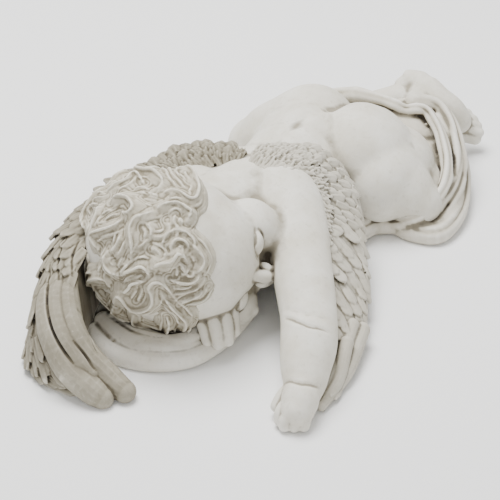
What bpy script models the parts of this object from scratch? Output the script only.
# A sleeping baby angel, cast as one piece: the child lies on its front with its head on its hand,
# its wings spread round it and a cloth over its legs. +Z is up, the head points to -Y and the
# child's left side is +X. The flat underside lies in the plane Z = 0.
import math
import random

import bmesh
import bpy
import numpy as np
from mathutils import Matrix, Vector

# Driving sizes, in metres
statue_length = 0.442        # tip of the right wing to the toes
head_size = 0.1272           # forehead to the back of the head
feather_thickness = 0.0075
pillow_height = 0.018
voxel = 0.0024               # fineness at which the masses are fused
triangle_budget = 9550
seed = 11

# The pose is written in shares of the length: 442 of them make the whole statue.
share = statue_length / 442


def at(x, y, z):
    """A place of the pose, given in shares of the length."""
    return Vector((x, y, z)) * share


def frame_of(face, crown):
    """Rotation whose axes are the head's left, its face and its crown."""
    face = Vector(face).normalized()
    crown = Vector(crown)
    crown = (crown - face * crown.dot(face)).normalized()
    left = crown.cross(face)
    return Matrix((left, face, crown)).transposed()


# The head is written in shares too: 120 of its own make its depth.
head_share = head_size / 120
head_centre = at(3, -107, 57)
head_turn = frame_of((0.99, 0.08, -0.02), (0.09, -0.855, 0.51))


def on_head(left, face, crown):
    """A place on the head, in the head's shares along its own axes."""
    return head_centre + head_turn @ (Vector((left, face, crown)) * head_share)


# Rounded masses: centre and three radii
trunk_masses = (
    ((0, -6, 40), (48, 50, 40)),        # ribs
    ((2, -26, 46), (44, 34, 32)),       # shoulders
    ((0, 38, 40), (41, 48, 40)),        # waist
    ((-6, 66, 42), (42, 44, 40)),       # small of the back
    ((-18, 92, 43), (37, 41, 40)),      # right buttock
    ((30, 88, 44), (42, 42, 40)),       # left buttock
    ((54, 82, 34), (32, 37, 33)),       # left hip
    ((0, 60, 20), (52, 72, 24)),        # belly on the ground
    ((0, -8, 20), (46, 48, 25)),        # chest on the ground
    ((-26, -48, 40), (26, 32, 42)),     # right shoulder
)
head_masses = (
    ((0, -4, 6), (50, 56, 52)),         # skull
    ((0, 18, 2), (42, 38, 40)),         # forehead
    ((0, 13, -21), (37, 32, 28)),       # jaw
    ((23, 29, -20), (18, 18, 18)),      # left cheek
    ((-23, 29, -20), (18, 18, 18)),     # right cheek
    ((0, 39, -37), (13, 11, 11)),       # chin
    ((0, 53, -14), (6, 7, 6)),          # tip of the nose
    ((0, 50, -4), (4.5, 7, 9)),         # bridge of the nose
    ((0, 45, -27), (11, 6, 5)),         # lips
)

# Limbs: x, y, z and radius at each point
limbs = {
    "neck": ((-4, -88, 58, 30), (0, -56, 56, 31), (2, -22, 50, 34)),
    "left arm": (
        (14, -2, 56, 30), (36, -21, 57, 28.5), (56, -38, 54, 24), (73, -57, 48, 22),
        (90, -77, 42, 21), (106, -96, 35, 20), (118, -114, 29, 20), (125, -128, 23, 18),
        (131, -138, 18, 15.5), (134, -146, 15, 13),
    ),
    "right arm": (
        (-28, -8, 52, 26), (-46, -34, 44, 22), (-56, -74, 28, 18), (-52, -98, 23, 16),
        (-30, -112, 25, 15), (8, -108, 26, 11),
    ),
    "left thigh": ((30, 88, 40, 40), (54, 86, 34, 33), (74, 86, 26, 25), (83, 88, 20, 19)),
    "left shin": ((83, 88, 18, 18), (71, 120, 20, 18), (46, 156, 26, 16), (22, 180, 36, 13)),
    "right thigh": ((-24, 88, 42, 36), (-46, 86, 32, 31), (-62, 84, 22, 24)),
    "right shin": ((-62, 86, 18, 19), (-44, 124, 22, 18), (-12, 160, 32, 15), (8, 180, 42, 12)),
}
feet = {
    "right foot": ((12, 191, 46, 10), (7, 194, 51, 9.5), (18, 196, 52, 10)),
    "left foot": (
        (24, 185, 40, 14), (24, 195, 50, 11), (37, 193, 45, 11), (49, 195, 38, 11),
        (55, 197, 29, 10.5),
    ),
}
palms = {
    "left palm": ((134, -146, 17, 12.5), (137, -153, 14, 13), (139, -159, 11, 11.5)),
    "right palm": ((10, -108, 26, 11), (28, -113, 27, 12), (40, -117, 26, 11)),
}
digits = {
    "left hand": (
        ((131, -158, 12), (130, -166, 6), 4.6),
        ((136, -162, 10), (136, -169, 5), 4.6),
        ((141, -162, 9), (142, -167, 5), 4.6),
        ((145, -158, 9), (147, -163, 5), 4.4),
        ((129, -148, 15), (124, -157, 9), 5.0),
    ),
    "right hand": (
        ((36, -128, 26), (49, -135, 15), 4.2),
        ((39, -122, 30), (57, -133, 15), 5.0),
        ((42, -115, 32), (61, -127, 17), 5.0),
        ((44, -107, 32), (59, -118, 19), 4.8),
        ((38, -98, 26), (56, -92, 18), 5.4),
    ),
    "toes": (
        ((49, 203, 34), (55, 211, 29), 4.4),
        ((53, 205, 31), (61, 211, 25), 4.4),
        ((57, 204, 26), (65, 210, 21), 4.6),
        ((59, 203, 21), (68, 208, 17), 4.8),
        ((57, 200, 15), (66, 206, 12), 5.6),
    ),
}

# Each wing is a solid drawn through four lines from root to tip: its foot beside the head or arm,
# the rim above that, the ridge of its back and its foot on the outside.
wings = {
    "left wing": {
        "rim": ((2, -18, 82), (22, -16, 84), (38, -17, 80), (52, -24, 72), (66, -38, 61),
                (84, -58, 49), (100, -77, 38), (116, -96, 26), (129, -112, 14), (139, -126, 7),
                (144, -136, 4)),
        "ridge": ((0, 0, 86), (14, 24, 84), (28, 42, 78), (42, 46, 66), (58, 40, 55),
                  (74, 22, 45), (90, 2, 34), (106, -18, 24), (124, -50, 15), (138, -88, 9),
                  (145, -126, 4)),
        "inner foot": (6, -6),
        "outer foot": (-9, -6),
        "primaries": (
            ((123, -68, 18, 6), (135, -105, 11, 6.5), (141, -131, 5, 4.5)),
            ((128, -62, 13, 6), (139, -97, 8, 6), (143, -117, 4, 4)),
            ((132, -88, 20, 5), (141, -114, 9, 5.5), (144, -137, 4, 4)),
        ),
    },
    "right wing": {
        "rim": ((-6, -20, 80), (-24, -30, 78), (-40, -52, 76), (-48, -76, 75), (-51, -104, 74),
                (-49, -132, 70), (-39, -162, 64), (-25, -188, 52), (-12, -196, 38), (2, -199, 24),
                (16, -199, 14), (26, -200, 7)),
        "ridge": ((-10, -2, 82), (-36, -8, 82), (-54, -16, 80), (-64, -40, 77), (-71, -66, 74),
                  (-77, -92, 70), (-79, -120, 66), (-74, -150, 60), (-62, -182, 50),
                  (-46, -208, 38), (-24, -222, 22), (4, -222, 8)),
        "inner foot": (4, 4),
        "outer foot": (-8, -1),
        "primaries": (
            ((-46, -188, 50, 8), (-27, -209, 37, 10), (-8, -217, 20, 10.5), (12, -217, 9, 10),
             (20, -216, 5, 8)),
            ((-35, -182, 52, 8), (-16, -202, 38, 10), (-2, -205, 23, 10.5), (15, -203, 11, 10),
             (29, -203, 6, 8)),
        ),
    },
}

# The cloth: one rolled fold follows each of these lines.
cloth_folds = (
    ((-6, 140, 60, 7), (14, 142, 62, 5), (28, 142, 62, 5), (35, 145, 58, 5),
     (42, 149, 60, 5), (49, 154, 58, 5), (57, 151, 54, 5), (66, 146, 49, 5),
     (76, 136, 44, 5.5), (84, 127, 39, 5.5), (91, 115, 33, 6), (95, 101, 27, 6),
     (93, 86, 22, 6), (89, 72, 17, 6), (78, 68, 12, 6), (61, 77, 8, 6)),
    ((30, 170, 50, 9), (44, 178, 50, 6), (56, 174, 46, 6), (66, 167, 42, 6),
     (75, 158, 36, 6.5), (86, 144, 29, 7), (95, 126, 22, 7), (99, 104, 16, 7),
     (98, 84, 11, 7), (90, 71, 9, 7), (79, 71, 8, 7), (60, 61, 8, 9)),
    ((44, 179, 34, 10), (66, 166, 26, 9), (83, 152, 18, 8), (96, 131, 13, 8),
     (105, 110, 9, 8), (108, 90, 7, 8), (106, 78, 6, 8), (97, 73, 6, 8), (83, 71, 6, 8),
     (68, 77, 6, 8)),
    ((-6, 140, 60, 7), (-34, 138, 50, 6), (-60, 122, 34, 7), (-74, 98, 18, 8), (-72, 70, 8, 8)),
    ((26, 176, 38, 12), (-8, 168, 34, 10), (-40, 152, 24, 10), (-68, 130, 12, 10),
     (-80, 98, 6, 9), (-76, 66, 5, 8)),
    ((60, 62, 8, 9), (58, 44, 10, 9), (50, 22, 12, 11), (44, 2, 14, 12)),
)
pillow_folds = (
    ((-30, -160, 4, 7), (-10, -171, 4, 8), (10, -171, 5, 8), (30, -162, 6, 8), (45, -148, 7, 7),
     (50, -128, 8, 7), (50, -106, 9, 7), (46, -84, 10, 8)),
    ((-20, -150, 10, 8), (8, -154, 11, 8), (30, -146, 12, 7), (38, -128, 14, 7), (40, -104, 15, 7)),
)
cloth_masses = (
    ((48, 128, 18), (46, 42, 26)),      # over the left leg
    ((-22, 128, 18), (54, 38, 28)),     # over the right leg
    ((10, 158, 22), (40, 24, 22)),      # over the ankles
    ((22, 146, 34), (40, 24, 24)),      # gathered behind the hips
)


class Clay:
    """Overlapping closed shapes, gathered to be fused into one skin."""

    def __init__(self):
        self.points, self.faces, self.total = [], [], 0
        bm = bmesh.new()
        bmesh.ops.create_uvsphere(bm, u_segments=20, v_segments=12, radius=1)
        self.ball_points = np.array([v.co for v in bm.verts])
        self.ball_faces = [[v.index for v in f.verts] for f in bm.faces]
        bm.free()

    def add(self, points, faces):
        self.points.append(np.asarray(points))
        self.faces += [[index + self.total for index in face] for face in faces]
        self.total += len(points)

    def ball(self, centre, radii, turn=Matrix.Identity(3)):
        """One rounded mass."""
        points = self.ball_points * np.array(radii) @ np.array(turn).T + np.array(centre)
        self.add(points, self.ball_faces)

    def mesh(self, mesh):
        points = np.array([v.co for v in mesh.vertices])
        self.add(points, [list(p.vertices) for p in mesh.polygons])

    def tubes(self, lines, ends=True):
        """Tapering tubes through lines of x, y, z and radius in shares, with round ends."""
        curve = bpy.data.curves.new("tubes", "CURVE")
        curve.dimensions = "3D"
        curve.bevel_depth = 1
        curve.bevel_resolution = 3
        curve.use_fill_caps = True
        curve.resolution_u = 5
        for line in lines:
            spline = curve.splines.new("BEZIER")
            spline.bezier_points.add(len(line) - 1)
            for point, (x, y, z, radius) in zip(spline.bezier_points, line):
                point.co = at(x, y, z)
                point.radius = radius * share
                point.handle_left_type = point.handle_right_type = "AUTO"
            for x, y, z, radius in (line[0], line[-1]) if ends else ():
                self.ball(at(x, y, z), [radius * share] * 3)
        obj = bpy.data.objects.new("tubes", curve)
        bpy.context.scene.collection.objects.link(obj)
        mesh = bpy.data.meshes.new_from_object(evaluated(obj))
        self.mesh(mesh)
        bpy.data.objects.remove(obj)
        bpy.data.meshes.remove(mesh)

    def fused(self, name, cell, rounds):
        """The outer skin of everything gathered, fused at cell and smoothed."""
        mesh = bpy.data.meshes.new(name)
        mesh.from_pydata(np.concatenate(self.points).tolist(), [], self.faces)
        obj = bpy.data.objects.new(name, mesh)
        bpy.context.scene.collection.objects.link(obj)
        remesh = obj.modifiers.new("fuse", "REMESH")
        remesh.mode = "VOXEL"
        remesh.voxel_size = cell
        smooth = obj.modifiers.new("blend", "SMOOTH")
        smooth.factor = 0.5
        smooth.iterations = rounds
        return obj


def evaluated(obj):
    bpy.context.view_layer.update()
    return obj.evaluated_get(bpy.context.evaluated_depsgraph_get())


def figure():
    """The child's body, head and limbs, blended into one smooth form."""
    clay = Clay()
    for centre, radii in trunk_masses:
        clay.ball(at(*centre), Vector(radii) * share)
    for centre, radii in head_masses:
        clay.ball(on_head(*centre), Vector(radii) * head_share, head_turn)
    clay.tubes(limbs.values())
    return clay


def add_extremities(clay):
    """Palms, feet, fingers and toes."""
    clay.tubes((*feet.values(), *palms.values()))
    clay.tubes([
        ((*root, radius), (*tip, radius)) for hand in digits.values() for root, tip, radius in hand
    ])


def hairline(turn):
    """How far down from the crown the hair reaches, by the angle round from the face."""
    return math.radians(80 - 40 * math.cos(turn) + 6 * math.cos(2 * turn))


def add_hair(clay):
    """Wavy locks that run out from the crown and end in a curl."""
    rng = random.Random(seed)
    lines = []
    rings = ((0.10, 6), (0.34, 13), (0.60, 19), (0.84, 24))
    for start, count in rings:
        for index in range(count):
            turn = 2 * math.pi * (index + rng.uniform(-0.3, 0.3)) / count
            low = start * hairline(turn)
            reach = rng.uniform(0.34, 0.46) * hairline(turn)
            swing = rng.uniform(5, 9) * rng.choice((-1, 1))
            phase = rng.uniform(0, 2 * math.pi)
            thick = rng.uniform(4.2, 5.8)
            line = []
            for step in range(7):
                t = step / 6
                down = max(low + reach * t, 0.03)
                wave = swing * math.sin(phase + 5.2 * t) / (56 * max(math.sin(down), 0.25))
                side = turn + wave
                lift = 1.0 + 0.05 * math.sin(phase * 2 + 6 * t) - 0.04 * t
                place = on_head(
                    52 * lift * math.sin(down) * math.sin(side),
                    -4 + 58 * lift * math.sin(down) * math.cos(side),
                    6 + 54 * lift * math.cos(down),
                ) / share
                line.append((*place, thick * (0.55 + 0.6 * math.sin(math.pi * (0.15 + 0.75 * t)))))
            lines.append(line)
    clay.tubes(lines)


def resampled(points, count):
    """The points of a line, evenly spaced along a smooth line through them."""
    points = np.array(points, float)
    gaps = np.linalg.norm(np.diff(points, axis=0), axis=1)
    along = np.concatenate([[0], np.cumsum(gaps)]) / gaps.sum()
    new = np.linspace(0, 1, count)
    line = np.stack([np.interp(new, along, points[:, k]) for k in range(3)], 1)
    for _ in range(3):
        line[1:-1] = (line[:-2] + 2 * line[1:-1] + line[2:]) / 4
    return line


class Wing:
    """The solid of one wing, with places and directions on its back."""

    def __init__(self, sizes, stations=33, across=11):
        rim, ridge = resampled(sizes["rim"], stations), resampled(sizes["ridge"], stations)
        foot = ridge * (1, 1, 0) + (*sizes["outer foot"], 0)
        inner = rim * (1, 1, 0) + (*sizes["inner foot"], 0)
        self.primaries = sizes["primaries"]
        middle = (rim + ridge) / 2 + (0, 0, 3)
        flank = ridge * (1, 1, 0.45) + np.array((*sizes["outer foot"], 0)) * 0.2
        lines = np.stack([rim, middle, ridge, flank, foot])
        share_across = np.array([0, 0.3, 0.6, 0.82, 1])
        t = np.linspace(0, 1, across)
        back = np.zeros((stations, across, 3))
        for i in range(stations):
            for k in range(3):
                back[i, :, k] = np.interp(t, share_across, lines[:, i, k])
        for _ in range(2):
            back[:, 1:-1] = (back[:, :-2] + 2 * back[:, 1:-1] + back[:, 2:]) / 4
        self.back, self.inner = back, inner
        along, over = np.gradient(back, axis=0), np.gradient(back, axis=1)
        normal = np.cross(along, over)
        self.outward = 1 if normal[:, 1:4, 2].mean() > 0 else -1
        normal *= self.outward
        self.along = along / np.linalg.norm(along, axis=2, keepdims=True)
        self.over = over / np.linalg.norm(over, axis=2, keepdims=True)
        self.normal = normal / np.linalg.norm(normal, axis=2, keepdims=True)

    def sample(self, field, s, t):
        """The field at shares s of the span and t of the breadth."""
        rows, columns = field.shape[:2]
        x, y = s * (rows - 1), t * (columns - 1)
        i, j = min(int(x), rows - 2), min(int(y), columns - 2)
        u, v = x - i, y - j
        low = field[i, j] * (1 - v) + field[i, j + 1] * v
        high = field[i + 1, j] * (1 - v) + field[i + 1, j + 1] * v
        return Vector(low * (1 - u) + high * u)


def add_wing(clay, wing):
    """The wing's solid: a loft of closed sections from root to tip."""
    ring = np.concatenate([wing.inner[:, None], wing.back], axis=1)
    ring[:, 0, 2] = ring[:, -1, 2] = -4
    rows, columns = ring.shape[:2]
    faces = []
    for i in range(rows - 1):
        for j in range(columns):
            k = (j + 1) % columns
            faces.append([i * columns + j, i * columns + k, (i + 1) * columns + k, (i + 1) * columns + j])
    faces.append([columns - 1 - j for j in range(columns)])
    faces.append([(rows - 1) * columns + j for j in range(columns)])
    if wing.outward < 0:
        faces = [face[::-1] for face in faces]
    clay.add(ring.reshape(-1, 3) * share, faces)
    clay.tubes(wing.primaries)


def add_feather(clay, wing, s, t, length, width, slant):
    """One feather that lies on the wing, slanting from the span towards the outside."""
    along = wing.sample(wing.along, s, t)
    over = wing.sample(wing.over, s, t)
    up = wing.sample(wing.normal, s, t).normalized()
    forward = along * math.cos(slant) + over * math.sin(slant)
    forward = (forward - up * forward.dot(up)).normalized()
    forward = (forward + up * 0.16).normalized()
    side = up.cross(forward).normalized()
    turn = Matrix((forward, side, forward.cross(side))).transposed()
    thick = feather_thickness / share
    centre = wing.sample(wing.back, s, t)
    clay.ball(centre * share, Vector((length, width, thick)) * share / 2, turn)


def add_feathers(clay, wing):
    rows = ((0.06, 11, 13), (0.22, 13, 16), (0.40, 15, 19), (0.58, 16, 22), (0.76, 18, 24), (0.92, 19, 22))
    rng = random.Random(seed)
    for t, width, length in rows:
        count = int(210 / width)
        for index in range(count):
            s = (index + rng.uniform(0.3, 0.7)) / count * (0.84 - 0.12 * t) + 0.02
            slant = math.radians(75 - 62 * s)
            grow = 0.85 + 0.6 * s * (1 - s)
            add_feather(clay, wing, s, t * rng.uniform(0.95, 1.03), length * grow, width * grow, slant)


def add_cloth(clay):
    for centre, radii in cloth_masses:
        clay.ball(at(*centre), Vector(radii) * share)
    clay.tubes(cloth_folds)


def add_pillow(clay):
    """The folded cloth under the head: a low pad with a rolled edge."""
    high = pillow_height / share
    clay.ball(at(-4, -118, 2), Vector((54, 58, high)) * share)
    clay.ball(at(24, -104, 2), Vector((28, 44, high + 2)) * share)
    clay.tubes(pillow_folds)


def stone():
    material = bpy.data.materials.new("antique stone")
    material.use_nodes = True
    shader = material.node_tree.nodes["Principled BSDF"]
    shader.inputs["Base Color"].default_value = (0.62, 0.6, 0.56, 1)
    shader.inputs["Roughness"].default_value = 0.8
    return material


def main():
    for obj in list(bpy.data.objects):
        bpy.data.objects.remove(obj)
    body = figure().fused("body", voxel, 10)
    clay = Clay()
    clay.mesh(evaluated(body).data)
    bpy.data.objects.remove(body)
    add_extremities(clay)
    add_hair(clay)
    for sizes in wings.values():
        wing = Wing(sizes)
        add_wing(clay, wing)
        add_feathers(clay, wing)
    add_cloth(clay)
    add_pillow(clay)
    angel = clay.fused("angel", voxel, 2)
    count = 2 * len(evaluated(angel).data.polygons)
    thin = angel.modifiers.new("thin out", "DECIMATE")
    thin.ratio = triangle_budget / count
    ground = bmesh.new()
    bmesh.ops.create_cube(ground, size=1, matrix=Matrix.Translation((0, 0, -0.5)))
    mesh = bpy.data.meshes.new("ground")
    ground.to_mesh(mesh)
    ground.free()
    cutter = bpy.data.objects.new("ground", mesh)
    cutter.hide_render = True
    cutter.display_type = "WIRE"
    bpy.context.scene.collection.objects.link(cutter)
    flat = angel.modifiers.new("flat underside", "BOOLEAN")
    flat.operation = "DIFFERENCE"
    flat.object = cutter
    angel.data.materials.append(stone())


main()
